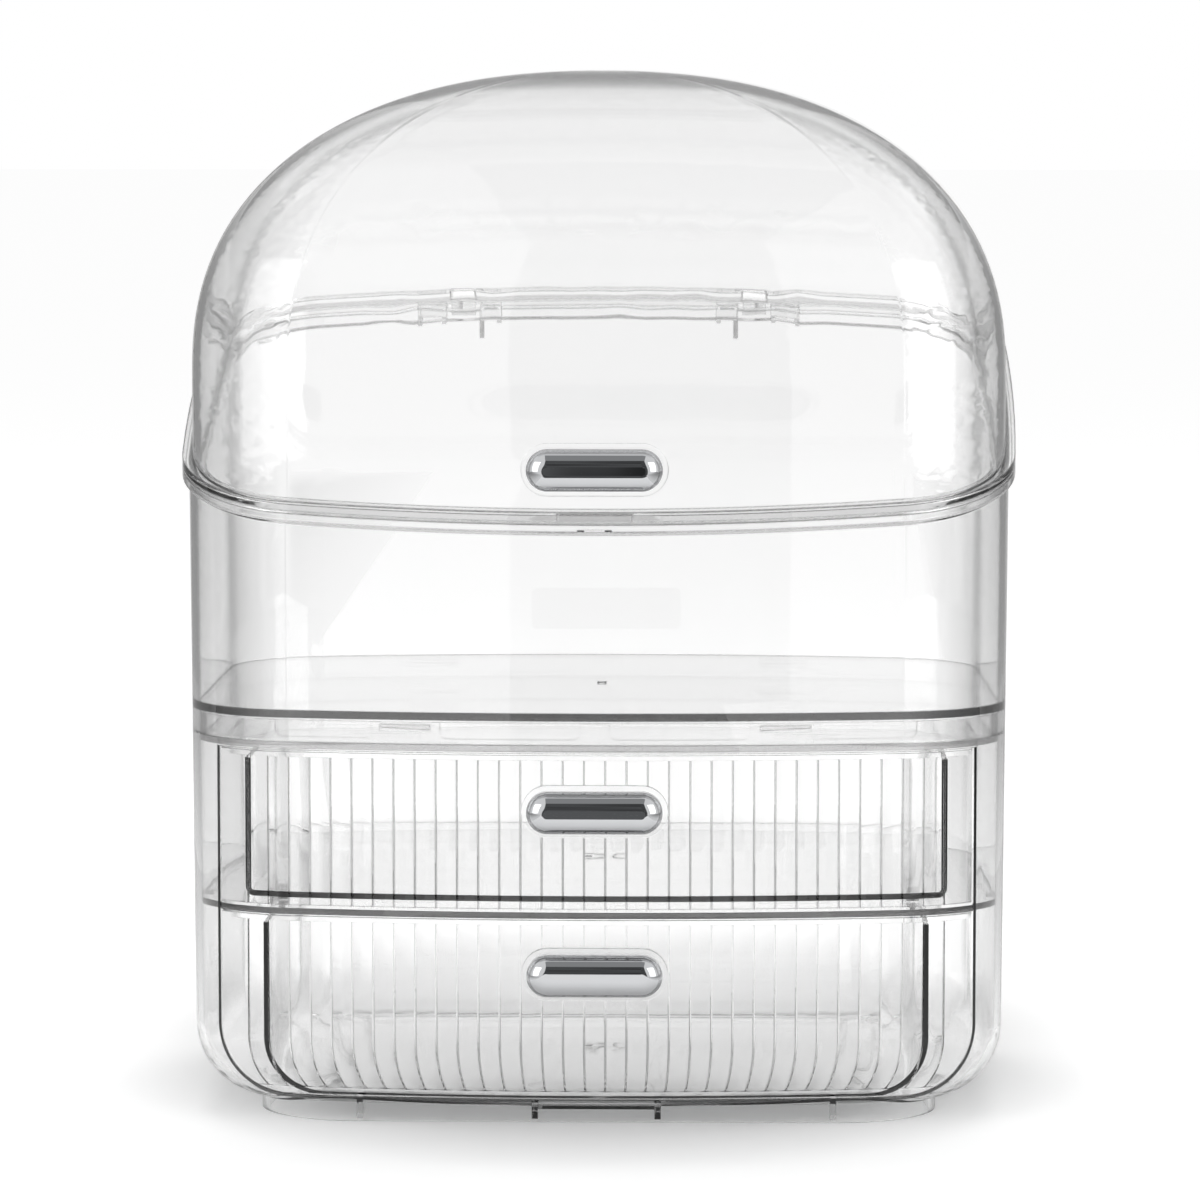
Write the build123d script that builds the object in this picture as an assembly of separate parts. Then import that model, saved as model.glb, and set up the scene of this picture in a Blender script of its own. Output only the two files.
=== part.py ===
from build123d import *
import math
import os

# Free-standing clear organizer: domed hinged lid over an open tray, on a cabinet with two drawers.
# Millimetres, +Z up, front toward -Y, origin on the standing plane under the plan centre.

# Plan outline of the body at the joint between tray and cabinet
BODY_HALF_W = 137.9
BODY_HALF_D = 100.0
FRONT_R = 570.0
SIDE_R = 1200.0
CORNER_R = 42.0
DRAFT_DEG = 0.42
WALL = 2.3
REACH = 40.0

# Heights above the standing plane
BASE_Z = 4.6
BASE_T = 2.6
JOINT_Z = 128.5
DECK_T = 2.3
DECK_DROP = 0.1
TRAY_FLOOR_RISE = 7.9
TRAY_FLOOR_Z = JOINT_Z + TRAY_FLOOR_RISE
TRAY_FLOOR_T = 2.5

# Fits between pieces
SEAT_GAP = 0.12
RUN_GAP = 0.35
LID_GAP = 0.3
BAR_FIT = 0.08
PEG_FIT = 0.1
FRONT_GAP = 0.6
FRONT_CORNER_GAP = 0.45
DRAWER_BACK_GAP = 1.5
STOP_GAP = 0.3
GUIDE_GAP = 0.75

# Cabinet
BASE_FILLET_R = 25.0
SIDE_POST_W = 12.4
TOP_RAIL_H = 2.8
SILL_H = 4.0
OPENING_HALF_W = BODY_HALF_W - SIDE_POST_W
OPENING_TOP_Z = JOINT_Z - TOP_RAIL_H
OPENING_BOTTOM_Z = BASE_Z + SILL_H
OPENING_CORNER_R = 24.0
FOOT_STEP_W = 23.9
FOOT_STEP_D = 18.0
FOOT_HALF_W = BODY_HALF_W - FOOT_STEP_W
FOOT_HALF_D = BODY_HALF_D - FOOT_STEP_D
FOOT_WALL = 2.4
FOOT_CORNER_R = 34.0
FOOT_SINK = 0.8
FOOT_RIB_X = 20.5
FOOT_RIB_T = 2.0
FOOT_RIB_END_R = 2.6
FOOT_RIB_LEN = 78.0
FOOT_RIB_Z = 0.8
FOOT_SHORT_RIB_IN = 35.0
FOOT_SHORT_RIB_LEN = 16.0
FOOT_PLATE_T = 0.5
FOOT_PLATE_LEN = 73.0
LEDGE_W = 4.0
LEDGE_T = 1.6
LEDGE_HALF_LEN = 44.0

# Shelf between the drawers
SHELF_TOP_Z = 73.0
SHELF_T = 2.1
SHELF_LOW_Z = SHELF_TOP_Z - SHELF_T
SHELF_EDGE_IN = 0.2
GUIDE_T = 1.4
GUIDE_H = 2.0
LOWER_GUIDE_H = 0.1
RAIL_W = 3.0
GUIDE_FRONT_Y = -BODY_HALF_D + 34.0
GUIDE_BACK_Y = BODY_HALF_D - 24.0
RAIL_BACK_Y = BODY_HALF_D - 30.0
STOP_RIB_T = 2.0
STOP_RIB_H = 1.7
STOP_RIB_W = 22.0
STOP_TAB_W = 20.0

# Snap joint between deck upstand and tray skirt
UPSTAND_T = 2.0
UPSTAND_H = 7.1
UPSTAND_TOP_Z = JOINT_Z + UPSTAND_H
SNAP_X = 62.6
SNAP_LAND_W = 23.0
SNAP_SLOT_W = 17.1
SNAP_SLOT_H = 2.4
SNAP_SLOT_Z = JOINT_Z + 5.3
SNAP_HOOK_W = 16.3
SNAP_HOOK_H = 1.7
SNAP_HOOK_REACH = 1.7
CENTRE_LAND_W = 9.6
RELIEF_DEPTH = 0.8
RELIEF_BOTTOM_Z = JOINT_Z + 1.7
RELIEF_END_X = BODY_HALF_W - 31.9
RELIEF_R = 2.4

# Drawers
DRAWER_WALL = 2.0
DRAWER_FRONT_T = 2.6
DRAWER_TRAVEL = 148.0
EAR_HALF_W = OPENING_HALF_W - FRONT_GAP
FLUTE_PITCH = 7.0
FLUTE_MARGIN = 9.0
FLUTE_COUNT = 2 * int((EAR_HALF_W - FLUTE_MARGIN) / FLUTE_PITCH) + 1
FLUTE_SINK = 0.06
FLUTE_DEPTH = 0.3
GROOVE_W = 0.7
GROOVE_DEPTH = 0.9
FLUTE_TOP_BAND = 1.6
RUNNER_T = 2.0
RUNNER_FRONT_Y = -BODY_HALF_D + 30.0
RUNNER_BACK_IN = 30.0
BOX_SINK = 1.4
BOX_TOP_DROP = 3.3
GATE_RING_R = 6.5
GATE_RING_T = 0.5
UPPER_FRONT_Z = (SHELF_TOP_Z + 1.0, OPENING_TOP_Z - FRONT_GAP)
UPPER_BOX_STEP = 9.4
UPPER_BOX_HALF_W = OPENING_HALF_W - UPPER_BOX_STEP
UPPER_FLOOR_Z = SHELF_TOP_Z + 3.4
UPPER_FLOOR_T = 1.9
UPPER_BOX_TOP_Z = OPENING_TOP_Z - BOX_TOP_DROP
UPPER_BOTTOM_R = 3.0
UPPER_BACK_R = 36.0
UPPER_RUNNER_IN = 10.6
LOWER_FRONT_Z = (OPENING_BOTTOM_Z + 0.7, SHELF_LOW_Z - FRONT_GAP)
LOWER_FLUTE_Z = OPENING_BOTTOM_Z + 3.4
LOWER_BOX_STEP = 15.3
LOWER_BOX_HALF_W = OPENING_HALF_W - LOWER_BOX_STEP
LOWER_FLOOR_Z = BASE_Z + BASE_T + 2.0
LOWER_FLOOR_T = 2.0
LOWER_BOX_TOP_Z = SHELF_LOW_Z - BOX_TOP_DROP
LOWER_BOTTOM_R = 20.0
LOWER_BACK_R = 34.0
LOWER_RUNNER_IN = LOWER_BOTTOM_R + 1.0

# Handles
HANDLE_L = 45.0
HANDLE_H = 14.0
HANDLE_PROUD = 8.4
HANDLE_EDGE_R = 5.6
PAD_MARGIN = 1.7
PAD_T = 1.2
PEG_D = 3.4
PEG_X = 14.0
UPPER_HANDLE_Z = UPPER_FRONT_Z[1] - 18.4
LOWER_HANDLE_Z = LOWER_FRONT_Z[1] - 17.8

# Slanted parting between lid and tray
TRAY_MID_H = 106.7
PARTING_MID_Z = JOINT_Z + TRAY_MID_H
PARTING_RISE = 0.319
PARTING_FRONT_Z = PARTING_MID_Z - PARTING_RISE * BODY_HALF_D
PARTING_BACK_Z = PARTING_MID_Z + PARTING_RISE * BODY_HALF_D
RIM_REACH = 50.0
RIM_PROUD = 2.9
LID_RIM_H = 2.8
TRAY_RIM_H = 3.5
TRAY_LEDGE_T = 1.4
RIM_SKIRT_T = 1.3
DUST_LIP_H = 1.2
DUST_LIP_T = 1.5
DUST_LIP_GAP = 0.5
DUST_LIP_ROOT = 6.0
LIFT_W = 25.0
LIFT_PROUD = 0.9
THUMB_NOTCH_W = 11.3
THUMB_NOTCH_DROP = 2.0

# Lid dome
LID_STEP_W = 0.5
LID_STEP_D = 0.4
LID_HALF_W = BODY_HALF_W - LID_STEP_W
LID_HALF_D = BODY_HALF_D - LID_STEP_D
LID_WALL = 2.3
DOME_START_Z = PARTING_MID_Z + 14.0
DOME_RISE = 99.8
LID_TOP_Z = DOME_START_Z + DOME_RISE
DOME_POWER = 2.3
LID_HANDLE_Z = PARTING_FRONT_Z + 16.3

# Hinge, placed from the back wall where the hinge stands
HINGE_X = 52.2
HINGE_WALL_Y = BODY_HALF_D - FRONT_R + math.sqrt(FRONT_R ** 2 - HINGE_X ** 2)
HINGE_Y = HINGE_WALL_Y + 5.4
HINGE_Z = PARTING_BACK_Z - 3.6
BAR_D = 2.7
LUG_GAP = 12.2
OUTER_LUG_W = 9.8
INNER_LUG_W = 7.5
LUG_R = 2.7
LUG_HEEL_Y = 4.3
LUG_HEEL_Z = -0.1
LUG_DROP = 3.3
LUG_RIB_T = 1.3
LUG_RIB_SHORT_Z = HINGE_Z - 6.3
LUG_RIB_LONG_Z = HINGE_Z - 11.5
KNUCKLE_W = 8.5
KNUCKLE_R = 2.7
CLIP_MOUTH = 2.3
TAB_LOW_Z = PARTING_BACK_Z + 0.3
TAB_TOP_Z = TAB_LOW_Z + 3.0
TAB_OUT_Y = HINGE_WALL_Y + RIM_PROUD + 0.1
NOTCH_W = 9.1
LUG_ROOT_Y = HINGE_WALL_Y - WALL - 0.4
NOTCH_IN_Y = HINGE_WALL_Y + RIM_PROUD - RIM_SKIRT_T


def draft_inset(z):
    """How far the drafted wall lies inside the plan outline at a height."""
    return (JOINT_Z - z) * math.tan(math.radians(DRAFT_DEG))


def corner_centre(half_w, half_d, front_r, side_r, corner_r):
    """Centre of the corner arc that touches the front arc and the side arc (front right)."""
    fy = front_r - half_d
    sx = half_w - side_r
    a = front_r - corner_r
    b = side_r - corner_r
    dist = math.hypot(sx, fy)
    along = (a * a - b * b + dist * dist) / (2 * dist)
    off = math.sqrt(a * a - along * along)
    ux, uy = sx / dist, -fy / dist
    first = (along * ux - off * uy, fy + along * uy + off * ux)
    second = (along * ux + off * uy, fy + along * uy - off * ux)
    return max(first, second)


def outline_arcs(half_w, half_d, front_r, side_r, corner_r):
    """Corner centre and the two tangent points of the front right corner."""
    cx, cy = corner_centre(half_w, half_d, front_r, side_r, corner_r)
    fy = front_r - half_d
    sx = half_w - side_r
    fl = math.hypot(cx, cy - fy)
    front_pt = (front_r * cx / fl, fy + front_r * (cy - fy) / fl)
    sl = math.hypot(cx - sx, cy)
    side_pt = (sx + side_r * (cx - sx) / sl, side_r * cy / sl)
    return (cx, cy), front_pt, side_pt


def outline_face(half_w, half_d, front_r, side_r, corner_r, z):
    """Closed plan outline of eight tangent arcs at height z."""
    (cx, cy), (fx, fy), (tx, ty) = outline_arcs(half_w, half_d, front_r, side_r, corner_r)
    mx, my = (fx + tx) / 2 - cx, (fy + ty) / 2 - cy
    ml = math.hypot(mx, my)
    px, py = cx + corner_r * mx / ml, cy + corner_r * my / ml
    arcs = [
        ((-fx, fy), (0, -half_d), (fx, fy)),
        ((fx, fy), (px, py), (tx, ty)),
        ((tx, ty), (half_w, 0), (tx, -ty)),
        ((tx, -ty), (px, -py), (fx, -fy)),
        ((fx, -fy), (0, half_d), (-fx, -fy)),
        ((-fx, -fy), (-px, -py), (-tx, -ty)),
        ((-tx, -ty), (-half_w, 0), (-tx, ty)),
        ((-tx, ty), (-px, py), (-fx, fy)),
    ]
    edges = [Edge.make_three_point_arc(*[Vector(x, y, z) for x, y in arc]) for arc in arcs]
    return Face(Wire(edges))


def plan_face(inset, z):
    """Body outline moved inward by inset, at height z."""
    return outline_face(BODY_HALF_W - inset, BODY_HALF_D - inset, FRONT_R - inset,
                        SIDE_R - inset, CORNER_R - inset, z)


def plan_prism(inset, z0, z1):
    """Drafted solid of the body outline between two heights."""
    return loft([plan_face(inset + draft_inset(z0), z0), plan_face(inset + draft_inset(z1), z1)],
                ruled=True)


def plain_prism(inset, z0, z1):
    """Upright solid of the body outline between two heights."""
    return extrude(plan_face(inset, z0), z1 - z0, dir=(0, 0, 1))


def front_y(x, inset):
    """Front edge of the plan outline moved inward by inset, at one x."""
    (cx, cy), (fx, _), _ = outline_arcs(BODY_HALF_W - inset, BODY_HALF_D - inset,
                                        FRONT_R - inset, SIDE_R - inset, CORNER_R - inset)
    if abs(x) <= fx:
        return FRONT_R - BODY_HALF_D - math.sqrt((FRONT_R - inset) ** 2 - x * x)
    return cy - math.sqrt((CORNER_R - inset) ** 2 - (abs(x) - cx) ** 2)


def block(x0, x1, y0, y1, z0, z1):
    """Box between six planes."""
    size = (x1 - x0, y1 - y0, z1 - z0)
    return Pos((x0 + x1) / 2, (y0 + y1) / 2, (z0 + z1) / 2) * Box(*size)


def profile_x(points, x0, x1):
    """Solid of a closed polygon in the YZ plane between two x values."""
    wire = Wire.make_polygon([Vector(x0, y, z) for y, z in points], close=True)
    return extrude(Face(wire), x1 - x0, dir=(1, 0, 0))


def rod_x(radius, y, z, x0, x1):
    """Round bar along X."""
    return Pos((x0 + x1) / 2, y, z) * Rot(0, 90, 0) * Cylinder(radius, x1 - x0)


def rod_y(radius, x, z, y0, y1):
    """Round bar along Y."""
    return Pos(x, (y0 + y1) / 2, z) * Rot(90, 0, 0) * Cylinder(radius, y1 - y0)


def parting_slab(low, high):
    """Slanted layer between two offsets from the parting plane."""
    z = PARTING_MID_Z
    x = BODY_HALF_W + REACH
    y = BODY_HALF_D + REACH
    rise = y * PARTING_RISE
    return profile_x([(-y, z - rise + low), (y, z + rise + low), (y, z + rise + high),
                      (-y, z - rise + high)], -x, x)


def above_parting(offset):
    """Space above the slanted parting plane lifted by offset."""
    return parting_slab(offset, LID_TOP_Z)


def stadium(length, height, depth, y_front, z):
    """Upright plate with round ends whose front face is at y_front."""
    flat = SlotOverall(length, height)
    plane = Plane(origin=(0, y_front, z), x_dir=(1, 0, 0), z_dir=(0, 1, 0))
    return extrude(plane * flat, depth)


def make_handle(wall_y, z):
    """Pill shaped pull with two pegs that pass through the pad and the wall behind it."""
    seat_y = wall_y - PAD_T - SEAT_GAP
    body = stadium(HANDLE_L, HANDLE_H, HANDLE_PROUD, seat_y - HANDLE_PROUD, z)
    front = body.faces().sort_by(Axis.Y)[0]
    body = fillet(front.edges(), HANDLE_EDGE_R)
    for x in (-PEG_X, PEG_X):
        body += rod_y(PEG_D / 2, x, z, seat_y - 1.0, wall_y + WALL + 1.2)
    return body


def add_pad(part, wall_y, z):
    """Raised pad on a front wall with the two peg holes."""
    pad = stadium(HANDLE_L + 2 * PAD_MARGIN, HANDLE_H + 2 * PAD_MARGIN, PAD_T + 1.6, wall_y - PAD_T, z)
    part = part + pad
    for x in (-PEG_X, PEG_X):
        part = part - rod_y(PEG_D / 2 + PEG_FIT, x, z, wall_y - PAD_T - 1, wall_y + WALL + 3)
    return part


def opening_solid(gap, z_top):
    """Front opening of the cabinet, made smaller all round by gap."""
    width = 2 * (OPENING_HALF_W - gap)
    low = OPENING_BOTTOM_Z + gap
    height = z_top - low
    flat = Pos(0, low + height / 2) * Rectangle(width, height)
    flat = fillet(flat.vertices().sort_by(Axis.Y)[:2], OPENING_CORNER_R - gap)
    plane = Plane(origin=(0, -BODY_HALF_D - REACH, 0), x_dir=(1, 0, 0), z_dir=(0, -1, 0))
    return extrude(plane * flat, -(BODY_HALF_D + REACH - LEDGE_HALF_LEN))


def rounded_tub(inset, z0, z1, radius):
    """Drafted body solid with a rounded bottom edge."""
    body = plan_prism(inset, z0, z1)
    bottom = body.faces().sort_by(Axis.Z)[0]
    return fillet(bottom.edges(), radius)


def foot_ring():
    """Low standing ring under the base, with two long ribs and two short ones."""
    flat = RectangleRounded(2 * FOOT_HALF_W, 2 * FOOT_HALF_D, FOOT_CORNER_R)
    inner = RectangleRounded(2 * (FOOT_HALF_W - FOOT_WALL), 2 * (FOOT_HALF_D - FOOT_WALL),
                             FOOT_CORNER_R - FOOT_WALL)
    top = OPENING_BOTTOM_Z
    ring = extrude(flat - inner, top)
    y0 = -FOOT_HALF_D + FOOT_WALL / 2
    ring += block(-FOOT_RIB_X, FOOT_RIB_X, y0, y0 + FOOT_PLATE_LEN, BASE_Z - FOOT_PLATE_T, top)
    for side in (-1, 1):
        x = side * FOOT_RIB_X
        ring += block(x - FOOT_RIB_T / 2, x + FOOT_RIB_T / 2, y0, y0 + FOOT_RIB_LEN, FOOT_RIB_Z, top)
        ring += (Pos(x, y0 + FOOT_RIB_LEN, (FOOT_RIB_Z + top) / 2)
                 * Cylinder(FOOT_RIB_END_R, top - FOOT_RIB_Z))
        x = side * (FOOT_HALF_W - FOOT_SHORT_RIB_IN)
        ring += block(x - FOOT_RIB_T / 2, x + FOOT_RIB_T / 2, y0, y0 + FOOT_SHORT_RIB_LEN,
                      FOOT_RIB_Z, top)
    return ring - rounded_tub(FOOT_SINK, BASE_Z + FOOT_SINK, JOINT_Z, BASE_FILLET_R - FOOT_SINK)


def make_cabinet_shell():
    """Tub with rounded base, wide front opening, foot ring, shelf ledges and drawer guides."""
    outer = rounded_tub(0, BASE_Z, JOINT_Z, BASE_FILLET_R)
    floor_top = BASE_Z + BASE_T
    inner = rounded_tub(WALL, floor_top, JOINT_Z + 6, BASE_FILLET_R - WALL)
    shell = outer - inner
    shell -= opening_solid(0, OPENING_TOP_Z)
    shell += foot_ring()
    reach = plan_prism(WALL - 0.4, BASE_Z + BASE_FILLET_R, JOINT_Z)
    for side in (-1, 1):
        x_in, x_out = BODY_HALF_W - WALL - LEDGE_W, BODY_HALF_W + 2
        x0, x1 = sorted((side * x_in, side * x_out))
        for top in (SHELF_LOW_Z - SEAT_GAP, JOINT_Z - DECK_DROP - DECK_T - SEAT_GAP):
            ledge = block(x0, x1, -LEDGE_HALF_LEN, LEDGE_HALF_LEN, top - LEDGE_T, top)
            shell += ledge & reach
        runner_x = LOWER_BOX_HALF_W - LOWER_RUNNER_IN
        for x, width, top in ((runner_x, RAIL_W, OPENING_BOTTOM_Z),
                              (guide_x(runner_x), GUIDE_T, OPENING_BOTTOM_Z + LOWER_GUIDE_H)):
            shell += block(side * x - width / 2, side * x + width / 2, GUIDE_FRONT_Y, RAIL_BACK_Y,
                           floor_top - 0.5, top)
    return shell


def guide_x(runner_x):
    """Centre of the guide that runs outside a drawer's runner."""
    return runner_x + RUNNER_T / 2 + GUIDE_GAP + GUIDE_T / 2


def drawer_back_y():
    """Back face of both drawers, clear of the bowed back wall at the drawer's corner."""
    x = UPPER_BOX_HALF_W - UPPER_BACK_R
    return BODY_HALF_D - FRONT_R + math.sqrt((FRONT_R - WALL) ** 2 - x * x) - DRAWER_BACK_GAP


def stop_span(half_w, back_r, width, side):
    """X range of a stop on the straight part of a drawer's back, one side."""
    x = half_w - back_r - STOP_TAB_W / 2
    return sorted((side * (x - width / 2), side * (x + width / 2)))


def stop_ribs(half_w, back_r, z_top):
    """Two ribs under a plate that the back of a drawer meets when it is pulled out."""
    ribs = []
    y = drawer_back_y() - DRAWER_WALL - DRAWER_TRAVEL - STOP_GAP
    for side in (-1, 1):
        x0, x1 = stop_span(half_w, back_r, STOP_RIB_W, side)
        ribs.append(block(x0, x1, y - STOP_RIB_T, y, z_top - STOP_RIB_H, z_top + 0.5))
    return ribs


def make_shelf():
    """Plate between the drawers with a bowed front edge that fills the opening."""
    low = SHELF_LOW_Z
    inner = plan_prism(WALL + SEAT_GAP, low, SHELF_TOP_Z)
    half = OPENING_HALF_W - SEAT_GAP
    nose = plan_prism(SHELF_EDGE_IN, low, SHELF_TOP_Z)
    nose &= block(-half, half, -BODY_HALF_D - REACH, -LEDGE_HALF_LEN, low, SHELF_TOP_Z)
    shelf = inner + nose
    for rib in stop_ribs(LOWER_BOX_HALF_W, LOWER_BACK_R, low):
        shelf += rib
    for side in (-1, 1):
        x = side * guide_x(UPPER_BOX_HALF_W - UPPER_RUNNER_IN)
        shelf += block(x - GUIDE_T / 2, x + GUIDE_T / 2, GUIDE_FRONT_Y, GUIDE_BACK_Y,
                       SHELF_TOP_Z - 0.5, SHELF_TOP_Z + GUIDE_H)
    return shelf


def relief_cutters():
    """Shallow pockets in the outer face of the upstand between the snap lands, front and back."""
    edge = SNAP_X + SNAP_LAND_W / 2
    inner_edge = SNAP_X - SNAP_LAND_W / 2
    spans = [(CENTRE_LAND_W / 2, inner_edge), (edge, RELIEF_END_X)]
    cutters = []
    for a, b in spans:
        for side in (-1, 1):
            x0, x1 = sorted((side * a, side * b))
            height = 12.0
            flat = Pos((x0 + x1) / 2, RELIEF_BOTTOM_Z + height / 2) * Rectangle(x1 - x0, height)
            flat = fillet(flat.vertices().sort_by(Axis.Y)[:2], RELIEF_R)
            plane = Plane(origin=(0, BODY_HALF_D + REACH, 0), x_dir=(1, 0, 0), z_dir=(0, -1, 0))
            cutters.append(extrude(plane * flat, 2 * (BODY_HALF_D + REACH)))
    return cutters


def make_top_deck():
    """Plate that closes the cabinet, with the upstand that the tray snaps over."""
    top = JOINT_Z - DECK_DROP
    low = top - DECK_T
    deck = plan_prism(WALL + SEAT_GAP, low, top)
    face_inset = WALL + SEAT_GAP
    upstand = plain_prism(face_inset, top - 0.5, UPSTAND_TOP_Z)
    upstand -= plain_prism(face_inset + UPSTAND_T, top - 1, UPSTAND_TOP_Z + 1)
    ring = (plain_prism(0, low, JOINT_Z + REACH)
            - plain_prism(face_inset + RELIEF_DEPTH, low - 1, JOINT_Z + REACH + 1))
    for cutter in relief_cutters():
        upstand -= cutter & ring
    for side in (-1, 1):
        x = side * SNAP_X
        upstand -= block(x - SNAP_SLOT_W / 2, x + SNAP_SLOT_W / 2, -BODY_HALF_D - REACH,
                         BODY_HALF_D + REACH, SNAP_SLOT_Z - SNAP_SLOT_H / 2,
                         SNAP_SLOT_Z + SNAP_SLOT_H / 2)
    deck += upstand
    for rib in stop_ribs(UPPER_BOX_HALF_W, UPPER_BACK_R, low):
        deck += rib
    return deck


def snap_hooks():
    """Wedges on the inside of the tray skirt that sit in the upstand slots."""
    hooks = []
    z = SNAP_SLOT_Z
    for x in (-SNAP_X, SNAP_X):
        y_tip = -front_y(x, WALL) - SNAP_HOOK_REACH
        y_root = -front_y(x, WALL / 2)
        x0, x1 = x - SNAP_HOOK_W / 2, x + SNAP_HOOK_W / 2
        wedge = [(y_root, z - SNAP_HOOK_H / 2), (y_tip, z + SNAP_HOOK_H / 8),
                 (y_tip, z + SNAP_HOOK_H / 2), (y_root, z + SNAP_HOOK_H / 2)]
        hooks.append(profile_x(wedge, x0, x1))
        hooks.append(profile_x([(-y, h) for y, h in wedge], x0, x1))
    return hooks


def hinge_spans(side):
    """X ranges of the outer and inner lug of one hinge."""
    x = side * HINGE_X
    outer = sorted((x + side * LUG_GAP / 2, x + side * (LUG_GAP / 2 + OUTER_LUG_W)))
    inner = sorted((x - side * LUG_GAP / 2, x - side * (LUG_GAP / 2 + INNER_LUG_W)))
    return outer, inner


def make_lugs(side):
    """Two lugs with ribs that carry one round hinge bar behind the tray."""
    y, z, root = HINGE_Y, HINGE_Z, LUG_ROOT_Y
    lugs = None
    outer, inner = hinge_spans(side)
    for x0, x1 in (outer, inner):
        body = profile_x([(root, z - LUG_DROP), (y + LUG_HEEL_Y, z - LUG_DROP),
                          (y + LUG_HEEL_Y, z + LUG_HEEL_Z), (y, z + LUG_R), (root, z + LUG_R - 2.2)],
                         x0, x1)
        body += rod_x(LUG_R, y, z, x0, x1)
        lugs = body if lugs is None else lugs + body
    ribs = [(outer[0], LUG_RIB_SHORT_Z), (outer[1] - LUG_RIB_T, LUG_RIB_SHORT_Z),
            (inner[0], LUG_RIB_SHORT_Z), (inner[1] - LUG_RIB_T, LUG_RIB_SHORT_Z)]
    long_x = inner[0] if side < 0 else inner[1] - LUG_RIB_T
    for x, foot in ribs:
        low = LUG_RIB_LONG_Z if abs(x - long_x) < 0.01 else foot
        lugs += profile_x([(root, low), (y - 1.5, low + 1.0), (y + LUG_HEEL_Y - 1.0, z - LUG_DROP + 0.5),
                           (root, z - LUG_DROP + 0.5)], x, x + LUG_RIB_T)
    x = side * HINGE_X
    return lugs + rod_x(BAR_D / 2, y, z, x - LUG_GAP / 2 - 1, x + LUG_GAP / 2 + 1)


def make_tray():
    """Open tray with slanted rim, dust lip, skirt with snap hooks, and hinge lugs."""
    rim_low, rim_high = PARTING_MID_Z - RIM_REACH, PARTING_MID_Z + RIM_REACH
    top = rim_high + 4
    outer = plan_prism(0, JOINT_Z, top)
    cavity = plan_prism(WALL, TRAY_FLOOR_Z + TRAY_FLOOR_T, top + 1)
    below = plan_prism(WALL, JOINT_Z - 1, TRAY_FLOOR_Z)
    tray = outer - cavity - below - above_parting(0)
    zone = plain_prism(-RIM_PROUD, rim_low, rim_high)
    inner = plan_prism(WALL / 2, rim_low - 5, rim_high + 5)
    rim = (zone - inner) & parting_slab(-TRAY_RIM_H, 0)
    groove = (plain_prism(-RIM_PROUD + RIM_SKIRT_T, rim_low - 5, rim_high + 5)
              - plan_prism(-0.01, rim_low - 6, rim_high + 6))
    rim -= groove & parting_slab(-TRAY_RIM_H - 2, -TRAY_LEDGE_T)
    lip_inset = LID_WALL + DUST_LIP_GAP
    lip_core = dome_solid(lip_inset + DUST_LIP_T, rim_low - 16)
    lip = (dome_solid(lip_inset, rim_low - 11) - lip_core) & parting_slab(-DUST_LIP_ROOT, DUST_LIP_H)
    lip_root = plan_prism(WALL - 0.8, rim_low - 8, rim_high + 6) - lip_core
    lip_root &= parting_slab(-DUST_LIP_ROOT, -DUST_LIP_ROOT + 3.4)
    tray = tray + rim + lip + lip_root
    for side in (-1, 1):
        x = side * HINGE_X
        half = LUG_GAP / 2
        tray -= block(x - half, x + half, NOTCH_IN_Y, BODY_HALF_D + REACH, HINGE_Z - 14, HINGE_Z + 14)
        tray += make_lugs(side) - cavity
    tray -= block(-THUMB_NOTCH_W / 2, THUMB_NOTCH_W / 2, -BODY_HALF_D - REACH,
                  -BODY_HALF_D - RIM_PROUD + RIM_SKIRT_T + 0.01, rim_low,
                  PARTING_FRONT_Z - THUMB_NOTCH_DROP - TRAY_LEDGE_T)
    for hook in snap_hooks():
        tray += hook
    floor_top = TRAY_FLOOR_Z + TRAY_FLOOR_T
    tray += Pos(0, 0, floor_top + 0.2) * Cylinder(1.6, 0.8)
    return tray


def dome_factor(z, rise):
    """Share of the full plan size that is left at a height in the dome."""
    if z <= DOME_START_Z:
        return 1.0
    return (1 - ((z - DOME_START_Z) / rise) ** DOME_POWER) ** (1 / DOME_POWER)


def dome_solid(inset, z0):
    """Closed lid shape moved inward by inset: upright below, a soft arch above."""
    rise = LID_TOP_Z - DOME_START_Z - inset
    half_w, half_d = LID_HALF_W - inset, LID_HALF_D - inset
    heights = [z0, z0 + 20, DOME_START_Z - 20, DOME_START_Z - 8]
    shares = [0.0, 0.12, 0.24, 0.36, 0.48, 0.6, 0.7, 0.79, 0.865, 0.92, 0.96, 0.984, 0.996]
    heights += [DOME_START_Z + rise * s for s in shares]
    sections = []
    for z in heights:
        k = dome_factor(z, rise)
        sections.append(outline_face(half_w * k, half_d * k, (FRONT_R - inset) * k,
                                     (SIDE_R - inset) * k, (CORNER_R - inset) * k, z))
    apex = Vertex(0, 0, DOME_START_Z + rise)
    return loft(sections + [apex])


def hinge_tab(side):
    """Arm on the lid that reaches down to the hinge bar and ends in a round clip."""
    x0, x1 = side * HINGE_X - KNUCKLE_W / 2, side * HINGE_X + KNUCKLE_W / 2
    y, z = HINGE_Y, HINGE_Z
    arm = profile_x([(LUG_ROOT_Y, TAB_TOP_Z), (LUG_ROOT_Y, TAB_LOW_Z), (NOTCH_IN_Y + 0.5, TAB_LOW_Z),
                     (y - KNUCKLE_R + 0.1, z), (y + KNUCKLE_R * 0.6, z + KNUCKLE_R * 0.8),
                     (TAB_OUT_Y + 1.0, TAB_TOP_Z - 1.0), (TAB_OUT_Y, TAB_TOP_Z)], x0, x1)
    return arm + rod_x(KNUCKLE_R, y, z, x0, x1)


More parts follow.
